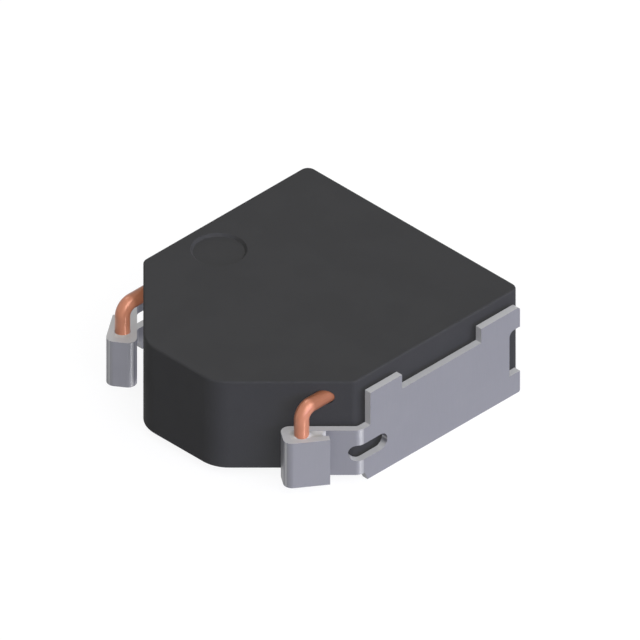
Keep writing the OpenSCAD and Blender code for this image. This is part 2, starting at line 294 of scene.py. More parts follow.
class Solid:
    """A closed mesh in the making, in millimetres."""

    def __init__(self, verts: Sequence[Sequence[float]], faces: Sequence[Sequence[int]]) -> None:
        """Makes the mesh and turns its faces outwards.

        Args:
            verts: its points in millimetres.
            faces: its faces by point number.
        """
        mesh = bpy.data.meshes.new("solid")
        mesh.from_pydata([tuple(v) for v in verts], [], [tuple(f) for f in faces])
        self.obj = link_new("solid", mesh)
        self.tidy()

    @classmethod
    def prism(cls, outline: Sequence[Point], low: float, high: float, along: Along) -> Solid:
        """Draws an outline out along an axis.

        Args:
            outline: the outline's points in order.
            low: where the prism starts on the axis.
            high: where it ends.
            along: the axis.

        Returns:
            The prism.
        """
        n = len(outline)
        verts = [along.place(a, b, t) for t in (low, high) for a, b in outline]
        faces: list[Sequence[int]] = [range(n), range(2 * n - 1, n - 1, -1)]
        faces += [(i, (i + 1) % n, n + (i + 1) % n, n + i) for i in range(n)]
        return cls(verts, faces)

    @classmethod
    def loft(cls, rings: Sequence[Sequence[Sequence[float]]]) -> Solid:
        """Joins closed rings of equally many points, with a flat face at each end.

        Args:
            rings: the rings in order.

        Returns:
            The solid.
        """
        n, last = len(rings[0]), len(rings) - 1
        faces: list[Sequence[int]] = [range(n), range((last + 1) * n - 1, last * n - 1, -1)]
        faces += [(k * n + i, k * n + (i + 1) % n, (k + 1) * n + (i + 1) % n, (k + 1) * n + i)
                  for k in range(last) for i in range(n)]
        return cls([p for ring in rings for p in ring], faces)

    @classmethod
    def lathe(cls, profile: Sequence[Point], steps: int, centre: Point = (0.0, 0.0)) -> Solid:
        """Turns a profile about an upright axis.

        Args:
            profile: points as radius and height. If its first and last radius are 0 the
                solid is full, otherwise the profile is closed and makes a ring.
            steps: points round the axis.
            centre: the axis in plan.

        Returns:
            The turned solid.
        """
        full = profile[0][0] < AXIS_GAP
        verts: list[Vector] = []
        rows: list[list[int]] = []
        for r, z in profile:
            count = 1 if r < AXIS_GAP else steps
            rows.append(list(range(len(verts), len(verts) + count)))
            verts += [Vector((centre[0] + r * math.cos(math.tau * i / steps),
                              centre[1] + r * math.sin(math.tau * i / steps), z))
                      for i in range(count)]
        pairs = list(zip(rows, rows[1:]))
        if not full:
            pairs.append((rows[-1], rows[0]))
        faces: list[Sequence[int]] = []
        for a, b in pairs:
            for i in range(steps):
                j = (i + 1) % steps
                corners = [a[i % len(a)], a[j % len(a)], b[j % len(b)], b[i % len(b)]]
                faces.append(list(dict.fromkeys(corners)))
        return cls(verts, [f for f in faces if len(f) > 2])

    def tidy(self) -> None:
        """Merges doubles and turns the faces outwards."""
        bm = bmesh.new()
        bm.from_mesh(self.obj.data)
        bmesh.ops.remove_doubles(bm, verts=bm.verts, dist=MERGE_GAP)
        bmesh.ops.recalc_face_normals(bm, faces=bm.faces)
        bm.to_mesh(self.obj.data)
        bm.free()

    def settle(self) -> None:
        """Applies the modifiers."""
        graph = bpy.context.evaluated_depsgraph_get()
        made = bpy.data.meshes.new_from_object(self.obj.evaluated_get(graph), depsgraph=graph)
        self.obj.modifiers.clear()
        self.obj.data = made

    def combine(self, how: Join, *others: Solid) -> Solid:
        """Adds other solids to this one or cuts them out of it, and uses them up.

        Args:
            how: whether they are added or cut out.
            others: the other solids.

        Returns:
            This solid.
        """
        for other in others:
            change = self.obj.modifiers.new("combine", "BOOLEAN")
            change.operation = how.value
            change.solver = "MANIFOLD"
            change.object = other.obj
            self.settle()
            bpy.data.objects.remove(other.obj)
        self.tidy()
        return self

    def soften(self, width: float, segments: int = 2) -> Solid:
        """Rounds the sharp edges.

        Args:
            width: how far the rounding reaches from the edge.
            segments: its facets.

        Returns:
            This solid.
        """
        change = self.obj.modifiers.new("soften", "BEVEL")
        change.width = width
        change.segments = segments
        change.limit_method = "ANGLE"
        change.angle_limit = math.radians(SHARP_ANGLE)
        self.settle()
        return self

    def mirrored(self, side: Side) -> Solid:
        """Turns the right-hand solid into the given side's.

        Args:
            side: the side.

        Returns:
            This solid.
        """
        if side is Side.LEFT:
            self.obj.data.transform(Matrix.Scale(-1.0, 4, (1.0, 0.0, 0.0)))
            self.tidy()
        return self

    def shade(self) -> None:
        """Shades the faces smooth up to the sharp edges, with flat faces kept flat."""
        bm = bmesh.new()
        bm.from_mesh(self.obj.data)
        limit = math.radians(SHARP_ANGLE)
        for face in bm.faces:
            face.smooth = True
        for edge in bm.edges:
            edge.smooth = len(edge.link_faces) == 2 and edge.calc_face_angle(0.0) < limit
        bm.to_mesh(self.obj.data)
        bm.free()
        change = self.obj.modifiers.new("shade", "WEIGHTED_NORMAL")
        change.keep_sharp = True
        self.settle()

    def finish(self, name: str, node: str, finish: Finish) -> Object:
        """Makes the solid a piece of the part: scales it to metres and hands it to the frame.

        Args:
            name: the piece's name.
            node: the CAD node that it stands for.
            finish: what it is made of.

        Returns:
            The piece's object.
        """
        self.shade()
        obj = self.obj
        obj.data.transform(Matrix.Scale(MM, 4))
        obj.data.update()
        obj.name = obj.data.name = name
        obj.data.materials.clear()
        obj.data.materials.append(finish.material())
        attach(obj, BODY)
        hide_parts(node)
        log.info("%s: %d faces for %s", name, len(obj.data.polygons), node)
        return obj


class Nodes:
    """Adds and links nodes in one tree."""

    def __init__(self, tree: Tree) -> None:
        """Keeps the tree."""
        self.tree = tree

    def add(self, kind: str, ins: dict[str | int, object] | None = None,
            **values: object) -> bpy.types.Node:
        """Adds a node.

        Args:
            kind: the node's type name.
            ins: what its inputs get, by their name or number.
            values: its properties by name.

        Returns:
            The node.
        """
        made = self.tree.nodes.new(kind)
        for name, value in values.items():
            setattr(made, name, value)
        for key, value in (ins or {}).items():
            self.feed(made.inputs[key], value)
        return made

    def feed(self, target: Socket, value: object) -> None:
        """Links a socket to a target, or sets a plain value on it.

        Args:
            target: the input socket.
            value: an output socket, a number, a colour or what else the target holds.
        """
        if isinstance(value, Socket):
            self.tree.links.new(value, target)
        else:
            target.default_value = (*value, 1.0) if target.type == "RGBA" else value

    def math(self, operation: str, *values: object) -> Socket:
        """A math node's result for the given inputs."""
        return self.add("ShaderNodeMath", dict(enumerate(values)), operation=operation).outputs[0]

    def span(self, value: Socket, between: Pair, to: Pair = RISE) -> Socket:
        """A value moved smoothly from one span to another, and held at its ends."""
        ins = dict(enumerate((value, *between, *to)))
        return self.add("ShaderNodeMapRange", ins, interpolation_type="SMOOTHSTEP").outputs[0]

    def noise(self, place: Socket, size: Socket, detail: float) -> Socket:
        """Noise whose spots have the given size in millimetres."""
        ins = {"Vector": place, "Scale": self.math("DIVIDE", 1.0 / MM, size), "Detail": detail}
        return self.add("ShaderNodeTexNoise", ins).outputs[0]

    def blend(self, share: Socket, a: object, b: object) -> Socket:
        """Two colours mixed by a share.

        Args:
            share: how much of the second colour shows.
            a: the first colour, or the socket that gives it.
            b: the second colour.

        Returns:
            The mixed colour's socket.
        """
        made = self.add("ShaderNodeMix", {"Factor": share}, data_type="RGBA")
        for name, value in (("A", a), ("B", b)):
            self.feed(next(s for s in made.inputs if s.name == name and s.type == "RGBA"), value)
        return next(s for s in made.outputs if s.type == "RGBA")

    def place(self, output: str) -> Socket:
        """A texture coordinate, such as Object or Normal."""
        return self.add("ShaderNodeTexCoord").outputs[output]

    def axes(self, output: str) -> Outputs:
        """The X, Y and Z of a texture coordinate."""
        return self.add("ShaderNodeSeparateXYZ", {0: self.place(output)}).outputs

    def group(self, tree: Tree, ins: dict[str | int, object]) -> Outputs:
        """Places a node group with its own values, and gives its outputs."""
        return self.add("ShaderNodeGroup", ins, node_tree=tree).outputs

    def seen(self) -> Socket:
        """Tells whether something is seen or only gives light.

        Returns:
            1 to the camera, in reflections and through glass, and 0 otherwise.
        """
        rays = self.add("ShaderNodeLightPath").outputs
        seen = self.math("MAXIMUM", rays["Is Camera Ray"], rays["Is Glossy Ray"])
        return self.math("MAXIMUM", seen, rays["Is Transmission Ray"])


def group_tree(name: str, ins: dict[str, float | Colour], outs: Sequence[str]
               ) -> tuple[Nodes, dict[str, Socket], dict[str, Socket]]:
    """Starts a shader node group with named inputs and outputs.

    Args:
        name: the group's name.
        ins: its inputs' default values by name, each a number or a vector.
        outs: its outputs' names, each a number.

    Returns:
        The helper for the tree, its input sockets and its output sockets by name.
    """
    tree = bpy.data.node_groups.new(name, "ShaderNodeTree")
    for key, value in ins.items():
        kind = "NodeSocketVector" if isinstance(value, tuple) else "NodeSocketFloat"
        tree.interface.new_socket(key, in_out="INPUT", socket_type=kind).default_value = value
    for key in outs:
        tree.interface.new_socket(key, in_out="OUTPUT", socket_type="NodeSocketFloat")
    nodes = Nodes(tree)
    source, target = nodes.add("NodeGroupInput").outputs, nodes.add("NodeGroupOutput").inputs
    return nodes, {k: source[k] for k in ins}, {k: target[k] for k in outs}


class Effects:
    """Shader node groups that the finishes share, each built once.

    A mask rises or falls between the two values of its span. The spans of the rims, cuts and
    bends are shares of the surface's normal along an axis.
    """

    GRAIN_DETAIL = 3.0
    PATCH_DETAIL = 4.0
    PLAIN_DETAIL = 2.0
    PATCH_SPAN = (0.35, 0.65)
    RIM_RISE = (0.08, 0.5)
    RIM_FALL = (0.8, 0.98)
    BREAK_SPAN = (0.4, 0.62)
    BREAK_SHARE = (0.25, 1.0)
    # Span of the normal's Z where cut edges that look up take the bare-metal colour and a painted
    # highlight
    CUT_AND_LIT_TOP = (0.3, 0.75)
    CUT_ALONG = (0.985, 0.998)
    # Spans of the normal's X, turned a little away from the axis, where the bends get a painted
    # highlight
    BEND_RISE = (0.87, 0.965)
    BEND_FALL = (0.99, 0.9995)

    @classmethod
    @cache
    def grain(cls) -> Tree:
        """Fine grain: a pressed, cast or blasted surface with soft patches in it.

        Returns:
            The group's tree.
        """
        nodes, ins, outs = group_tree(
            "fine_grain", {"Grain size": 0.05, "Patch size": 1.0, "Patch depth": 0.3},
            ("Height", "Patches"))
        place = nodes.place("Object")
        fine = nodes.noise(place, ins["Grain size"], cls.GRAIN_DETAIL)
        spots = nodes.noise(place, ins["Patch size"], cls.PATCH_DETAIL)
        patches = nodes.span(spots, cls.PATCH_SPAN)
        nodes.feed(outs["Patches"], patches)
        deep = nodes.math("MULTIPLY", patches, ins["Patch depth"])
        nodes.feed(outs["Height"], nodes.math("ADD", fine, deep))
        return nodes.tree

    @classmethod
    @cache
    def slope_wear(cls) -> Tree:
        """Wear on the rounded rims, which are neither level nor upright.

        Returns:
            The group's tree.
        """
        nodes, ins, outs = group_tree("slope_wear", {"Break size": 0.3, "Amount": 0.5}, ("Wear",))
        tilt = nodes.math("ABSOLUTE", nodes.axes("Normal")["Z"])
        rim = nodes.math("MULTIPLY", nodes.span(tilt, cls.RIM_RISE),
                         nodes.span(tilt, cls.RIM_FALL, FALL))
        broken = nodes.noise(nodes.place("Object"), ins["Break size"], cls.PLAIN_DETAIL)
        wear_enamel_and_highlight = nodes.math("MULTIPLY", rim, nodes.span(broken, cls.BREAK_SPAN, cls.BREAK_SHARE))
        nodes.feed(outs["Wear"], nodes.math("MULTIPLY", wear_enamel_and_highlight, ins["Amount"]))
        return nodes.tree

    @classmethod
    @cache
    def sheet_wear_and_highlights(cls) -> Tree:
        """Masks on a sheet: cut edges, which look up, to the front or back, where the bare metal of
        the cut shows and a painted highlight lies on the edges that look up; and a painted
        highlight on the bends.

        Returns:
            The group's tree.
        """
        nodes, ins, outs = group_tree(
            "sheet_wear_and_highlights", {"Cut edge and lit top amount": 1.0, "Bend highlight amount": 1.0}, ("Sheared", "Bend highlight"))
        normal = nodes.axes("Normal")
        along = nodes.span(nodes.math("ABSOLUTE", normal["Y"]), cls.CUT_ALONG)
        # Cut edges as bare metal, with a painted highlight on the edges that look up
        sheared = nodes.math("MAXIMUM", nodes.span(normal["Z"], cls.CUT_AND_LIT_TOP), along)
        nodes.feed(outs["Sheared"], nodes.math("MULTIPLY", sheared, ins["Cut edge and lit top amount"]))
        # A painted highlight on the bends, where the normal turns a little away from X
        across = nodes.math("ABSOLUTE", normal["X"])
        bend_highlight_mask = nodes.math("MULTIPLY", nodes.span(across, cls.BEND_RISE),
                          nodes.span(across, cls.BEND_FALL, FALL))
        nodes.feed(outs["Bend highlight"], nodes.math("MULTIPLY", bend_highlight_mask, ins["Bend highlight amount"]))
        return nodes.tree

    @classmethod
    @cache
    def enamelled_part(cls) -> Tree:
        """The part of the wire that still has its enamel: all of it behind a place along Y.

        Returns:
            The group's tree.
        """
        nodes, ins, outs = group_tree(
            "enamelled_part", {"Enamel from": 0.0, "Fade": 0.2}, ("Enamel",))
        along = nodes.math("DIVIDE", nodes.axes("Object")["Y"], MM)
        behind = nodes.math("SUBTRACT", along, ins["Enamel from"])
        nodes.feed(outs["Enamel"], nodes.span(nodes.math("DIVIDE", behind, ins["Fade"]), RISE))
        return nodes.tree

    @classmethod
    @cache
    def drawn_lines(cls) -> Tree:
        """Fine lines along one direction, as rolling or drawing leaves them.

        Returns:
            The group's tree.
        """
        nodes, ins, outs = group_tree(
            "drawn_lines", {"Line width": 0.03, "Direction": (1.0, 1.0, 0.05)}, ("Height", "Lines"))
        stretch = nodes.add("ShaderNodeVectorMath", {0: nodes.place("Object"), 1: ins["Direction"]},
                            operation="MULTIPLY").outputs[0]
        lines = nodes.noise(stretch, ins["Line width"], cls.PLAIN_DETAIL)
        nodes.feed(outs["Height"], lines)
        nodes.feed(outs["Lines"], nodes.span(lines, cls.PATCH_SPAN))
        return nodes.tree


@dataclass(frozen=True)
class Finish:
    """What a piece is made of: its colours, gloss and relief.

    Sizes are in millimetres and colours are linear. The base and second colour mix in soft
    patches, and the roughness goes from its first value to its second with them. The colour
    for wear, enamel and highlights shows as wear on rims by the share wear, and on a wire from
    enamel_from on along Y, where it stands for the enamel. On a sheet it is partly painted
    light: by the share for bends it is a painted highlight on the bends, and by the share for
    cut edges it shows on the cut edges as their bare metal, with a painted highlight on the
    edges that look up.
    """

    name: str
    slot: str
    base: Colour
    second: Colour
    rough: Pair
    # Colour of rim wear, of the enamel on a wire, and of the painted highlights on a sheet
    wear_enamel_and_highlight: Colour | None = None
    metallic: float = 0.0
    specular: float = 0.5
    grain: float = 0.05
    patch: float = 1.2
    relief: float = 0.004
    wear: float = 0.0
    # Shares of that colour on a sheet: cut edges with a painted highlight on those that look up,
    # and a painted highlight on the bends
    sheared: float = 0.0
    painted_bend_highlight: float = 0.0
    enamel_from: float | None = None
    lines: float = 0.0
    line_rough: float = 0.06

    @cache
    def material(self) -> bpy.types.Material:
        """The material, built when it is first asked for.

        Returns:
            The material.
        """
        made = bpy.data.materials.new(self.name)
        made.use_nodes = True
        nodes = Nodes(made.node_tree)
        grain = nodes.group(Effects.grain(), {"Grain size": self.grain, "Patch size": self.patch})
        colour = nodes.blend(grain["Patches"], self.base, self.second)
        rough = nodes.span(grain["Patches"], RISE, self.rough)
        height = grain["Height"]
        metallic: object = self.metallic
        masks: list[Socket] = []
        if self.lines:
            lines = nodes.group(Effects.drawn_lines(), {"Line width": self.lines})
            height = nodes.math("ADD", height, lines["Height"])
            rough = nodes.math("MULTIPLY_ADD", lines["Lines"], self.line_rough, rough)
        if self.wear:
            masks.append(nodes.group(Effects.slope_wear(), {"Amount": self.wear})["Wear"])
        if self.enamel_from is not None:
            start = {"Enamel from": self.enamel_from}
            masks.append(nodes.group(Effects.enamelled_part(), start)["Enamel"])
        # On a sheet the lighter colour is a painted highlight on the bends and, on edges that look
        # up, a painted highlight along with the bare metal of the cut
        if self.sheared:
            sheet = nodes.group(Effects.sheet_wear_and_highlights(),
                                {"Cut edge and lit top amount": self.sheared, "Bend highlight amount": self.painted_bend_highlight})
            masks += [sheet["Bend highlight"], sheet["Sheared"]]
            plain = nodes.math("SUBTRACT", 1.0, sheet["Sheared"])
            metallic = nodes.math("MULTIPLY", plain, self.metallic)
        for mask in masks:
            colour = nodes.blend(mask, colour, self.wear_enamel_and_highlight)
        bump = nodes.add("ShaderNodeBump",
                         {"Strength": 1.0, "Distance": self.relief * MM, "Height": height})
        feeds = {"Base Color": colour, "Roughness": rough, "Metallic": metallic,
                 "Specular IOR Level": self.specular, "Normal": bump.outputs[0]}
        shader = made.node_tree.nodes["Principled BSDF"]
        for name, value in feeds.items():
            nodes.feed(shader.inputs[name], value)
        return made


SHIELD = Finish("shield_ferrite", "shield",
                base=(0.0425, 0.0425, 0.043), second=(0.0415, 0.0415, 0.042),
                wear_enamel_and_highlight=(0.07, 0.07, 0.072), rough=(0.76, 0.8), specular=0.08, patch=1.4,
                relief=0.003, wear=0.15)
CORE = Finish("core_ferrite", "ferrite",
              base=(0.038, 0.038, 0.04), second=(0.034, 0.034, 0.036), wear_enamel_and_highlight=(0.07, 0.07, 0.072),
              rough=(0.46, 0.56), grain=0.04, patch=0.5, wear=0.6)
COPPER = Finish("enamelled_copper", "copper_wire",
                base=(0.5, 0.2, 0.116), second=(0.455, 0.18, 0.1), wear_enamel_and_highlight=(0.3, 0.113, 0.058),
                rough=(0.28, 0.34), metallic=0.15, specular=0.35, patch=0.4, relief=0.002,
                enamel_from=-3.6)
# The pale colour on the bends is a painted highlight; on the edges that look up it is partly
# painted highlight and partly bare cut metal
TIN = Finish("matte_tin_plate", "tinned_sheet",
             base=(0.227, 0.227, 0.244), second=(0.221, 0.221, 0.238), wear_enamel_and_highlight=(0.41, 0.41, 0.41),
             rough=(0.36, 0.42), metallic=0.4, specular=0.4, grain=0.04, patch=1.6, relief=0.0012,
             sheared=1.0, painted_bend_highlight=0.6, lines=0.03)
SOLDER = Finish("tin_solder", "solder",
                base=(0.47, 0.47, 0.455), second=(0.43, 0.43, 0.415), rough=(0.4, 0.5),
                metallic=0.1, grain=0.12, patch=0.3)
SEAL = Finish("cast_seal", "seal_resin",
              base=(0.03, 0.028, 0.026), second=(0.02, 0.019, 0.018), rough=(0.2, 0.34),
              grain=0.3, patch=1.5, relief=0.006)
BOND = Finish("pressed_bond", "bond_resin",
              base=(0.3, 0.27, 0.22), second=(0.25, 0.22, 0.17), rough=(0.4, 0.55),
              grain=0.2, patch=0.7, relief=0.006)


@dataclass
class Shield:
    """The pressed ferrite block with its pocket, lead passages and dimple."""

    dimple_r: float = 0.92
    dimple_depth: float = 0.1
    dimple_slope: float = 0.08
    dimple_inset: float = 1.3
    rim_r: float = 0.03
    ceiling_z: float = 3.3
    core_ring_r: float = 3.74
    overshoot: float = 0.5
    lip_share: float = 0.02
    edge_step: int = 10
    rim_step: float = 12.0
    pocket_sides: int = 144
    dimple_sides: int = 96

    def ring(self, z: float, inset: float) -> list[Vector]:
        """The body's outline at a height, moved inwards.

        Args:
            z: the height.
            inset: how far the outline lies inside the full one.

        Returns:
            The ring's points, counter-clockwise from above.
        """
        s = SIZES
        side = Vector((s.half_w - s.side_r, s.half_l - s.side_r))
        shoulder = side.x - math.sqrt(2.0) * (s.cut_n - s.side_r)
        nose_y = s.half_l - s.nose_r
        nose_x = math.sqrt(2.0) * (s.cut_n - s.nose_r) - nose_y
        corners = [((side.x, side.y), s.side_r, 0, 90), ((-side.x, side.y), s.side_r, 90, 180),
                   ((-side.x, shoulder), s.side_r, 180, 225),
                   ((-nose_x, -nose_y), s.nose_r, 225, 270),
                   ((nose_x, -nose_y), s.nose_r, 270, 315),
                   ((side.x, shoulder), s.side_r, 315, 360)]
        points: list[Vector] = []
        for centre, radius, start, end in corners:
            step = FINE_STEP if radius == s.nose_r else ROUND_STEP
            points += [Vector((x, y, z)) for x, y in arc(centre, radius - inset, start, end, step)]
        return points

    def outside(self) -> Solid:
        """The block's outside, with its rounded top edge and bevelled bottom edge.

        Returns:
            The full block.
        """
        s = SIZES
        rings = [self.ring(s.body_z, s.foot_bevel), self.ring(s.body_z + s.foot_bevel, 0.0)]
        for angle in range(0, 91, self.edge_step):
            t = math.radians(angle)
            rings.append(self.ring(s.top_z - s.top_r * (1 - math.sin(t)),
                                   s.top_r * (1 - math.cos(t))))
        return Solid.loft(rings)

    def pocket(self) -> Solid:
        """The room for the core, with a higher ring for the leads.

        Returns:
            The tool that cuts it.
        """
        s = SIZES
        lead_ceiling = s.lead_z + s.wire_d / 2 + s.pocket_gap
        low = s.body_z - self.overshoot
        profile = [(0.0, low), (s.pocket_r, low), (s.pocket_r, lead_ceiling),
                   (self.core_ring_r, lead_ceiling), (self.core_ring_r, self.ceiling_z),
                   (0.0, self.ceiling_z)]
        return Solid.lathe(profile, self.pocket_sides)

    def passage(self, side: Side) -> Solid:
        """The round way out for one lead.

        Args:
            side: the side that it is on.

        Returns:
            The tool that cuts it.
        """
        s = SIZES
        around = circle((side.value * s.lead_r, s.lead_z), s.wire_d / 2 + s.lead_gap)
        return Solid.prism(around, -s.half_l, 0.0, Along.Y)

    def dimple(self) -> Solid:
        """The shallow round mark in the top, with a softly rounded rim and floor.

        Returns:
            The tool that cuts it.
        """
        s = SIZES
        floor = s.top_z - self.dimple_depth
        low, high = self.dimple_r - self.dimple_slope, self.dimple_r
        slope = math.atan2(self.dimple_depth, self.dimple_slope)
        blend = self.rim_r * math.tan(slope / 2)
        turn, step = math.degrees(slope), self.rim_step
        foot = arc((low - blend, floor + self.rim_r), self.rim_r, -90, turn - 90, step)
        lip = arc((high + blend, s.top_z - self.rim_r), self.rim_r, 90 + turn, 90, step)
        profile = [(0.0, floor)] + foot + lip
        top = s.top_z + self.overshoot
        profile += [(high + blend + self.rim_r * self.lip_share, s.top_z + HAIR),
                    (high + 2 * blend, top), (0.0, top)]
        return Solid.lathe(profile, self.dimple_sides, (self.dimple_inset - s.half_w, 0.0))

    def build(self) -> Object:
        """Builds the piece.

        Returns:
            The piece's object.
        """
        passages = [self.passage(side) for side in Side]
        solid = self.outside().combine(Join.CUT, self.pocket(), self.dimple(), *passages)
        return solid.finish("ferrite_shield", "shield_body", SHIELD)


@dataclass
class DrumCore:
    """The core's post and its two flanges."""

    post_r: float = 1.95
    base_t: float = 0.5
    top_t: float = 0.42
    window_h: float = 2.06
    top_r: float = 3.71
    base_r: float = 4.07
    rim_r: float = 0.1
    flange_step: float = 0.03
    rim_step: float = 15.0
    sides: int = 160

    def build(self) -> Object:
        """Builds the piece.

        Returns:
            The piece's object.
        """
        z0 = SIZES.body_z
        window = z0 + self.base_t
        top = window + self.window_h + self.top_t
        rim = self.rim_r
        profile = [(0.0, z0)]
        profile += arc((self.base_r - rim, z0 + rim), rim, -90, 0, self.rim_step)
        profile += [(self.base_r, window), (self.post_r, window),
                    (self.post_r, window + self.window_h),
                    (self.top_r - self.flange_step, window + self.window_h)]
        profile += arc((self.top_r - rim, top - rim), rim, 0, 90, self.rim_step)
        profile += [(0.0, top)]
        return Solid.lathe(profile, self.sides).finish("drum_core_ferrite", "drum_core", CORE)


@dataclass
class SealRing:
    """The resin ring round the core's base, with a hollow surface."""

    inner_r: float = 4.07
    low_z: float = 0.48
    high_z: float = 0.76
    hollow: float = 0.05
    across: int = 8
    sides: int = 160

    def build(self) -> Object:
        """Builds the piece.

        Returns:
            The piece's object.
        """
        outer = SIZES.pocket_r
        count = self.across
        surface = [(self.inner_r + (outer - self.inner_r) * i / count,
                    self.low_z + self.hollow * math.sin(math.pi * i / count))
                   for i in range(count + 1)]
        profile = surface + [(outer, self.high_z), (self.inner_r, self.high_z)]
        return Solid.lathe(profile, self.sides).finish("seal_resin_ring", "seal_ring", SEAL)


@dataclass
class Winding:
    """The one wire from crimp to crimp: two leads and the rows of turns between them.

    Places round the coil are angles in degrees from the right side, which go on past 360.
    """

    rows: int = 4
    row_turns: float = 2.5
    coil_in: float = 2.25
    turn_pitch: float = 0.52
    row_pitch: float = 0.51
    window_z: float = 0.8
    wire_gap: float = 0.02
    bend_r: float = 0.4
    bend_step: int = 6
    lead_shares: tuple[float, ...] = (0.5, 0.3, 0.12)
    lead_fall: float = 50.0
    lead_in: float = 40.0
    row_step: float = 60.0
    lead_out: float = 50.0
    climb_least: float = 90.0
    left_angle: float = 180.0
    step: float = 7.5
    sides: int = 24

    @property
    def coil_out(self) -> float:
        """Radius of the outermost turn's centre line."""
        return self.coil_in + self.row_turns * self.turn_pitch

    @property
    def row_angle(self) -> float:
        """Angle that one row covers."""
        return 360.0 * self.row_turns

    @property
    def rows_start(self) -> float:
        """Angle at which the rows start."""
        return self.lead_fall + self.lead_in

    @property
    def rows_end(self) -> float:
        """Angle at which the rows end."""
        return self.rows_start + self.rows * self.row_angle + (self.rows - 1) * self.row_step

    @property
    def climb_start(self) -> float:
        """Angle at which the last lead starts to climb."""
        return self.rows_end + self.lead_out

    @property
    def climb_end(self) -> float:
        """Angle at which the last lead leaves the coil, which is at its left side."""
        turns = math.ceil((self.climb_start + self.climb_least - self.left_angle) / 360.0)
        return 360.0 * turns + self.left_angle

    def row_z(self, row: int) -> float:
        """Height of a row's centre line, row 0 being the top one."""
        low = self.window_z + self.wire_gap + SIZES.wire_d / 2
        return low + (self.rows - 1 - row) * self.row_pitch

    def in_rows(self, b: float) -> tuple[float, float]:
        """Where the wire is within the rows.

        Args:
            b: angle past the start of the rows.

        Returns:
            The wire's radius and height.
        """
        whole = self.row_angle + self.row_step
        row = min(int(b // whole), self.rows - 1)
        turn = min((b - row * whole) / self.row_angle, 1.0)
        run = 1.0 - turn if row % 2 == 0 else turn
        z = self.row_z(row)
        if row < self.rows - 1:
            z -= ease((b - row * whole - self.row_angle) / self.row_step) * self.row_pitch
        return self.coil_in + run * (self.coil_out - self.coil_in), z

    def at(self, a: float) -> Vector:
        """The wire's place in the coil: in the first lead, the rows or the last lead.

        Args:
            a: angle from the start of the coil.

        Returns:
            The place of its centre line.
        """
        s = SIZES
        spread = s.lead_r - self.coil_out
        if a < self.rows_start:
            radius = s.lead_r - ease((a - self.lead_fall) / self.lead_in) * spread
            z = s.lead_z - ease(a / self.lead_fall) * (s.lead_z - self.row_z(0))
        elif a < self.rows_end:
            radius, z = self.in_rows(a - self.rows_start)
        else:
            radius = self.coil_out + ease((a - self.rows_end) / self.lead_out) * spread
            share = (a - self.climb_start) / (self.climb_end - self.climb_start)
            low = self.row_z(self.rows - 1)
            z = low + ease(share) * (s.lead_z - low)
        t = math.radians(a)
        return Vector((radius * math.cos(t), radius * math.sin(t), z))

    def lead(self, side: Side) -> list[Vector]:
        """One lead, from its crimp to the coil.

        Args:
            side: the side that it is on.

        Returns:
            The points of its centre line.
        """
        s = SIZES
        x = side.value * s.lead_r
        points = [Vector((x, s.lead_y, s.arm_z + s.wire_short)), Vector((x, s.lead_y, s.arm_top))]
        for angle in range(0, 91, self.bend_step):
            t = math.radians(angle)
            points.append(Vector((x, s.lead_y + self.bend_r * (1 - math.cos(t)),
                                  s.lead_z - self.bend_r * (1 - math.sin(t)))))
        return points + [Vector((x, -share * s.half_l, s.lead_z)) for share in self.lead_shares]

    def path(self) -> list[Vector]:
        """The wire's centre line from the right crimp to the left one.

        Returns:
            Its points in order.
        """
        count = math.ceil(self.climb_end / self.step)
        coil = [self.at(self.climb_end * i / count) for i in range(count + 1)]
        return self.lead(Side.RIGHT) + coil + self.lead(Side.LEFT)[::-1]

    def tree(self) -> Tree:
        """The node tree that lays a round wire along a line of points.

        Returns:
            The tree, with its sizes as named inputs.
        """
        tree = bpy.data.node_groups.new("wire_along_path", "GeometryNodeTree")
        sizes = {"Path": "Geometry", "Wire radius": "Float", "Sides": "Int", "Finish": "Material"}
        for name, kind in sizes.items():
            tree.interface.new_socket(name, in_out="INPUT", socket_type=f"NodeSocket{kind}")
        tree.interface.new_socket("Wire", in_out="OUTPUT", socket_type="NodeSocketGeometry")
        nodes = Nodes(tree)
        given = nodes.add("NodeGroupInput").outputs
        curve = nodes.add("GeometryNodeMeshToCurve", {0: given["Path"]})
        section = nodes.add("GeometryNodeCurvePrimitiveCircle",
                            {"Resolution": given["Sides"], "Radius": given["Wire radius"]})
        sweep = nodes.add("GeometryNodeCurveToMesh",
                          {"Curve": curve.outputs[0], "Profile Curve": section.outputs[0],
                           "Fill Caps": True})
        real = nodes.add("GeometryNodeRealizeInstances", {0: sweep.outputs[0]})
        dress = nodes.add("GeometryNodeSetMaterial",
                          {"Geometry": real.outputs[0], "Material": given["Finish"]})
        nodes.add("NodeGroupOutput", {0: dress.outputs[0]})
        return tree

    def build(self) -> Object:
        """Builds the piece.

        Returns:
            The piece's object.
        """
        points = self.path()
        line = Solid([], [])
        mesh = bpy.data.meshes.new("wire_path")
        mesh.from_pydata(points, [(i, i + 1) for i in range(len(points) - 1)], [])
        line.obj.data = mesh
        change = line.obj.modifiers.new("wire", "NODES")
        change.node_group = self.tree()
        values = {"Wire radius": SIZES.wire_d / 2, "Sides": self.sides, "Finish": COPPER.material()}
        for item in change.node_group.interface.items_tree:
            if item.in_out == "INPUT" and item.name in values:
                change[item.identifier] = values[item.name]
        line.settle()
        line.tidy()
        return line.finish("copper_winding", "winding", COPPER)


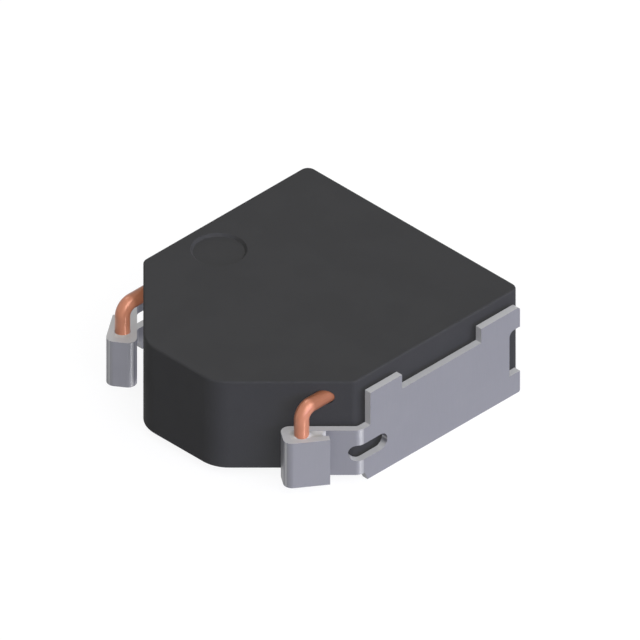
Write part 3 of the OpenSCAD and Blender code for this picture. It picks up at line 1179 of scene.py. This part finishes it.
@dataclass
class Terminal:
    """One bent sheet terminal: foot, plate, bend, arm and crimp."""

    side: Side
    tab_top: float = 3.36
    recess: float = 0.55
    front_tab_w: float = 1.44
    back_tab_w: float = 1.76
    back_end: float = 4.93
    notch_w: float = 0.48
    notch_z: float = 0.84
    notch_top: float = 2.58
    notch_r: float = 0.22
    corner_r: float = 0.12
    tab_step: float = 0.26
    plain_step: float = 0.55
    slope: float = 0.16
    slot_z: float = 0.89
    slot_h: float = 0.61
    slot_plate: float = 1.03
    slot_turn: float = 34.0
    slot_back: float = 5.0
    slot_lap: float = 0.05
    foot_w: float = 2.15
    foot_setback: float = 0.55
    fold_r: float = 0.05
    lap: float = 0.2
    over: float = 0.5
    edge_r: float = 0.025
    bed_gap: float = 0.01

    def plate_outline(self) -> list[Point]:
        """The plate's outline, going round from its front bottom corner.

        The right plate has two tabs with a recess between them, and the left one a plain top.

        Returns:
            Its points along Y and Z.
        """
        s = SIZES
        y0, y1, r = s.bend_y, self.back_end, self.corner_r
        low = self.tab_top - self.recess
        top = self.tab_top if self.side is Side.RIGHT else low
        notch_y = y1 - self.notch_w
        points = [(y0, s.arm_z), (y0 + self.slope, 0.0)]
        points += arc((y1 - r, r), r, -90, 0, CORNER_STEP)
        points += [(y1, self.notch_z), (notch_y, self.notch_z)]
        notch_r = self.notch_r
        points += arc((notch_y + notch_r, self.notch_top - notch_r), notch_r, 180, 90, CORNER_STEP)
        points += [(y1, self.notch_top)]
        points += arc((y1 - r, top - r), r, 0, 90, CORNER_STEP)
        if self.side is Side.RIGHT:
            front = y0 + self.tab_step
            points += [(y1 - self.back_tab_w, top), (y1 - self.back_tab_w, low),
                       (front + self.front_tab_w, low), (front + self.front_tab_w, top)]
        else:
            front = y0 + self.plain_step
        return points + [(front, top), (front, s.arm_top), (y0, s.arm_top)]

    def sheet_edge(self, off: float) -> list[Point]:
        """One edge of the sheet in plan, from the plate to the flap's end.

        Args:
            off: how far the edge lies from the sheet's side that faces the body.

        Returns:
            The edge's points.
        """
        s = SIZES
        r_crimp = s.crimp_r + s.sheet_t - off
        crimp = arc(s.corner_1, r_crimp, 180, 270 + s.flap_tilt)
        crimp += arc(s.corner_2, r_crimp, s.flap_tilt - 90, s.flap_tilt)
        flap_end = s.corner_2 + r_crimp * s.end_dir + s.flap_l * s.flap_dir
        crimp.append((flap_end.x, flap_end.y))
        bend = arc((s.half_w, s.bend_y), s.bond_t + off, 0, -45)
        start = (s.plate_in + off, s.bend_y + self.lap)
        return [start] + bend + [s.from_ns(n, t) for n, t in crimp]

    def slot(self) -> Solid:
        """The tool for the slot across the bend, round at both ends.

        Returns:
            The tool.
        """
        s = SIZES
        r = self.slot_h / 2
        z = self.slot_z + r
        deep = s.bond_t + s.sheet_t + self.over
        end = s.bend_y + self.slot_plate - r
        front = s.bend_y - self.slot_lap
        outline = [(front, self.slot_z)] + arc((end, z), r, -90, 90)
        outline.append((front, self.slot_z + self.slot_h))
        tool = Solid.prism(outline, s.half_w, s.half_w + deep, Along.X)
        bend = (s.half_w, s.bend_y)
        wedge = [bend] + arc(bend, deep, -self.slot_turn, self.slot_back)
        end_tool = Solid.prism(circle((0.0, z), r, ROUND_STEP / 2), 0.0, deep, Along.X)
        end_tool.obj.data.transform(Matrix.Translation((*bend, 0.0))
                                    @ Matrix.Rotation(math.radians(-self.slot_turn), 4, "Z"))
        return tool.combine(Join.ADD, Solid.prism(wedge, self.slot_z, z + r, Along.Z), end_tool)

    def bore(self) -> Solid:
        """The groove in which the wire beds.

        Returns:
            The tool that cuts it.
        """
        s = SIZES
        around = circle((s.lead_r, s.lead_y), s.wire_d / 2 + self.bed_gap)
        low = s.arm_z + s.wire_short - self.bed_gap
        return Solid.prism(around, low, s.arm_top + self.over, Along.Z)

    def build(self) -> Object:
        """Builds the piece.

        Returns:
            The piece's object.
        """
        s = SIZES
        plate = Solid.prism(self.plate_outline(), s.plate_in, s.plate_out, Along.X)
        strip = self.sheet_edge(0.0) + self.sheet_edge(s.sheet_t)[::-1]
        arm = Solid.prism(strip, s.arm_z, s.arm_top, Along.Z)
        x0, x1 = s.plate_out - self.foot_w, s.plate_out
        foot = Solid.prism([(x0, 0.0), (x1, 0.0), (x1, s.sheet_t), (x0, s.sheet_t)],
                           s.bend_y + self.foot_setback, self.back_end - self.foot_setback, Along.Y)
        plate.combine(Join.ADD, arm, foot)
        r, over = self.fold_r, self.over
        waste = arc((s.plate_out - r, r), r, -90, 0, ROUND_STEP)
        waste += [(s.plate_out + over, r), (s.plate_out + over, -over), (s.plate_out - r, -over)]
        fold = Solid.prism(waste, s.bend_y - over, self.back_end + over, Along.Y)
        plate.combine(Join.CUT, fold, self.slot(), self.bore())
        plate.soften(self.edge_r).mirrored(self.side)
        return plate.finish(f"terminal_sheet_{self.side.word}", f"terminal_{self.side.word}", TIN)


@dataclass
class SolderFill:
    """The solder in one crimp, which climbs a little on the wire and hollows at its open end."""

    side: Side
    length: float = 1.15
    climb: float = 0.1
    climb_reach: float = 0.08
    sag: float = 0.03
    hollow: float = 0.12
    hollow_grade: int = 4
    short: float = 0.01
    under_share: float = 0.4
    across: int = 16
    down: int = 32

    def surface(self, a: float, b: float, top: bool) -> Vector:
        """A point of the fill's top or bottom.

        Args:
            a: share of the way from the arm to the flap.
            b: share of the way from the closed end to the open one.
            top: whether it is on the top.

        Returns:
            The point.
        """
        s = SIZES
        tan = math.tan(math.radians(s.flap_tilt))
        out = Vector((s.end_dir.y, -s.end_dir.x))
        closed = s.corner_1 + s.crimp_r * out
        far = s.corner_2 + s.crimp_r * s.end_dir
        open_s = s.corner_1.y + self.length
        near_0 = Vector((s.arm_out, closed.y - tan * (closed.x - s.arm_out)))
        near_1 = Vector((s.arm_out, open_s))
        far_0 = closed + ((far - closed).dot(s.end_dir)) * s.end_dir
        far_1 = Vector((far.x - tan * (open_s - far.y), open_s))
        p = near_0.lerp(far_0, a).lerp(near_1.lerp(far_1, a), b)
        p.y -= self.hollow * b ** self.hollow_grade * (1.0 - (2.0 * a - 1.0) ** 2)
        gap = max((p - Vector((s.wire_n, s.wire_s))).length - s.wire_d / 2, 0.0)
        inside = math.sin(math.pi * a) * math.sin(math.pi * min(b, 0.5))
        rise = self.climb * math.exp(-gap / self.climb_reach) * inside - self.sag * inside
        x, y = s.from_ns(p.x, p.y)
        if top:
            return Vector((x, y, s.arm_top - self.short + rise))
        return Vector((x, y, s.arm_z + self.short - self.under_share * rise))

    def build(self) -> Object:
        """Builds the piece.

        Returns:
            The piece's object.
        """
        verts: list[Vector] = []
        index: dict[tuple[int, int, bool], int] = {}
        for top in (False, True):
            for i in range(self.across + 1):
                for j in range(self.down + 1):
                    index[i, j, top] = len(verts)
                    verts.append(self.surface(i / self.across, j / self.down, top))
        faces: list[Sequence[int]] = []
        for top in (False, True):
            faces += [(index[i, j, top], index[i + 1, j, top],
                       index[i + 1, j + 1, top], index[i, j + 1, top])
                      for i in range(self.across) for j in range(self.down)]
        rim = [(i, 0) for i in range(self.across)] + [(self.across, j) for j in range(self.down)]
        rim += [(self.across - i, self.down - j) for i, j in rim]
        for a, b in zip(rim, rim[1:] + rim[:1]):
            faces.append((index[*a, False], index[*b, False], index[*b, True], index[*a, True]))
        solid = Solid(verts, faces).mirrored(self.side)
        return solid.finish(f"solder_fill_{self.side.word}", f"solder_{self.side.word}", SOLDER)


@dataclass
class BondPad:
    """The adhesive between the body's side and one plate, pressed out to a wavy edge."""

    side: Side
    low: tuple[float, float] = (-0.81, 0.6)
    high: tuple[float, float] = (4.15, 2.51)
    hollow: float = 0.05
    wave: float = 0.09
    wave_turns: float = 3.0
    wave_seed: float = 3.0
    square: int = 5
    points: int = 180
    layers: int = 6

    def build(self) -> Object:
        """Builds the piece.

        Returns:
            The piece's object.
        """
        s = SIZES
        seed = self.wave_seed + self.side.value
        centre = [(a + b) / 2 for a, b in zip(self.low, self.high)]
        half = [(b - a) / 2 - HAIR for a, b in zip(self.low, self.high)]
        rings = []
        for k in range(self.layers + 1):
            share = k / self.layers
            ring = []
            for i in range(self.points):
                t = math.tau * i / self.points
                c, d = math.cos(t), math.sin(t)
                swell = (abs(c) ** self.square + abs(d) ** self.square) ** (-1 / self.square)
                place = Vector((self.wave_turns * c, self.wave_turns * d, seed))
                inset = self.hollow * math.sin(math.pi * share)
                inset += self.wave * (0.5 + 0.5 * noise.noise(place))
                ring.append((s.half_w + s.bond_t * share,
                             centre[0] + c * swell * (half[0] - inset),
                             centre[1] + d * swell * (half[1] - inset)))
            rings.append(ring)
        solid = Solid.loft(rings).mirrored(self.side)
        return solid.finish(f"bond_pad_{self.side.word}", f"bond_{self.side.word}", BOND)


@dataclass(frozen=True)
class Lamp:
    """A soft light from far away.

    The source is the direction that it comes from, as seen from the part, and the width is
    the angle that it fills, in degrees. Without shadow it shines through the part.
    """

    name: str
    strength: float
    width: float
    source: tuple[float, float, float]
    colour: Colour = WHITE
    shadow: bool = False

    def hang(self) -> None:
        """Puts the light in its place."""
        data = bpy.data.lights.new(self.name, "SUN")
        data.energy = self.strength
        data.angle = math.radians(self.width)
        data.color = self.colour
        data.use_shadow = self.shadow
        look_back(link_new(self.name, data), Vector(self.source))


KEY_SOURCE = (0.89, -0.13, 0.64)
LAMPS = (Lamp("key", 0.55, 60.0, KEY_SOURCE, shadow=True),
         Lamp("open_key", 2.95, 60.0, KEY_SOURCE),
         Lamp("cool_side", 1.1, 50.0, (1.0, -0.05, 0.05), colour=(0.15, 0.2, 1.0)),
         Lamp("low_rim", 0.5, 9.0, (0.8, -0.02, -0.58)),
         Lamp("high_rim", 0.3, 7.0, (-0.58, 0.15, 0.79)),
         Lamp("left_fill", 0.36, 60.0, (-0.7, -0.7, 0.1)),
         Lamp("back_fill", 0.4, 60.0, (-0.3, 1.0, 0.1)))


@dataclass
class Studio:
    """The pale floor, the soft lights and the camera of the picture.

    Lengths are in metres and angles in degrees. The picture is image_width points wide, and
    a millimetre takes up points_per_mm of them.
    """

    world_fill: float = 0.26
    floor_colour: float = 0.3
    floor_lift: float = 0.72
    floor_half: float = 0.6
    azimuth: float = 45.0
    elevation: float = 35.2644
    image_width: float = 640.0
    points_per_mm: float = 31.05
    aim: tuple[float, float, float] = (0.001578, -0.000488, 0.0037)
    distance: float = 0.12
    clip: Pair = (0.001, 10.0)

    def world(self) -> None:
        """White to the camera and in reflections, and a plain fill light on the part."""
        made = bpy.data.worlds.new("studio")
        bpy.context.scene.world = made
        made.use_nodes = True
        nodes = Nodes(made.node_tree)
        back = made.node_tree.nodes["Background"]
        nodes.feed(back.inputs["Color"], WHITE)
        nodes.feed(back.inputs["Strength"], nodes.span(nodes.seen(), RISE, (self.world_fill, 1.0)))

    def floor(self) -> None:
        """A pale floor that keeps the part's shadow and can be looked through from below."""
        made = bpy.data.materials.new("pale_floor")
        made.use_nodes = True
        made.node_tree.nodes.clear()
        nodes = Nodes(made.node_tree)
        grey = nodes.add("ShaderNodeBsdfDiffuse", {"Color": (self.floor_colour,) * 3})
        lift = nodes.math("MULTIPLY", nodes.seen(), self.floor_lift)
        glow = nodes.add("ShaderNodeEmission", {"Strength": lift})
        both = nodes.add("ShaderNodeAddShader", {0: grey.outputs[0], 1: glow.outputs[0]})
        below = nodes.add("ShaderNodeNewGeometry").outputs["Backfacing"]
        clear = nodes.add("ShaderNodeBsdfTransparent")
        choice = nodes.add("ShaderNodeMixShader",
                           {0: below, 1: both.outputs[0], 2: clear.outputs[0]})
        nodes.add("ShaderNodeOutputMaterial", {"Surface": choice.outputs[0]})
        mesh = bpy.data.meshes.new("floor")
        corners = [(x * self.floor_half, y * self.floor_half, 0.0)
                   for x, y in ((-1, -1), (1, -1), (1, 1), (-1, 1))]
        mesh.from_pydata(corners, [], [range(4)])
        mesh.materials.append(made)
        obj = link_new("floor", mesh)

    def camera(self) -> None:
        """The camera: a view without perspective, from the front right and above."""
        data = bpy.data.cameras.new("camera")
        data.type = "ORTHO"
        data.ortho_scale = MM * self.image_width / self.points_per_mm
        data.clip_start, data.clip_end = self.clip
        a, e = math.radians(self.azimuth), math.radians(self.elevation)
        back = Vector((math.sin(a) * math.cos(e), -math.cos(a) * math.cos(e), math.sin(e)))
        obj = link_new("camera", data)
        obj.location = Vector(self.aim) + back * self.distance
        look_back(obj, back)
        bpy.context.scene.camera = obj

    def build(self) -> None:
        """Sets the studio up."""
        bpy.context.scene.view_settings.view_transform = "Standard"
        self.camera()
        self.world()
        self.floor()
        for lamp in LAMPS:
            lamp.hang()
        log.info("studio ready")


def main() -> None:
    """Builds the studio and every piece, in order."""
    logging.basicConfig(level=logging.INFO, format="%(name)s: %(message)s")
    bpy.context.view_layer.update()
    for sub_assembly in (Studio(), Shield(), DrumCore(), SealRing(), Winding()):
        sub_assembly.build()
    for side in Side:
        for sub_assembly in (Terminal(side), SolderFill(side), BondPad(side)):
            sub_assembly.build()


if __name__ == "__main__":
    main()
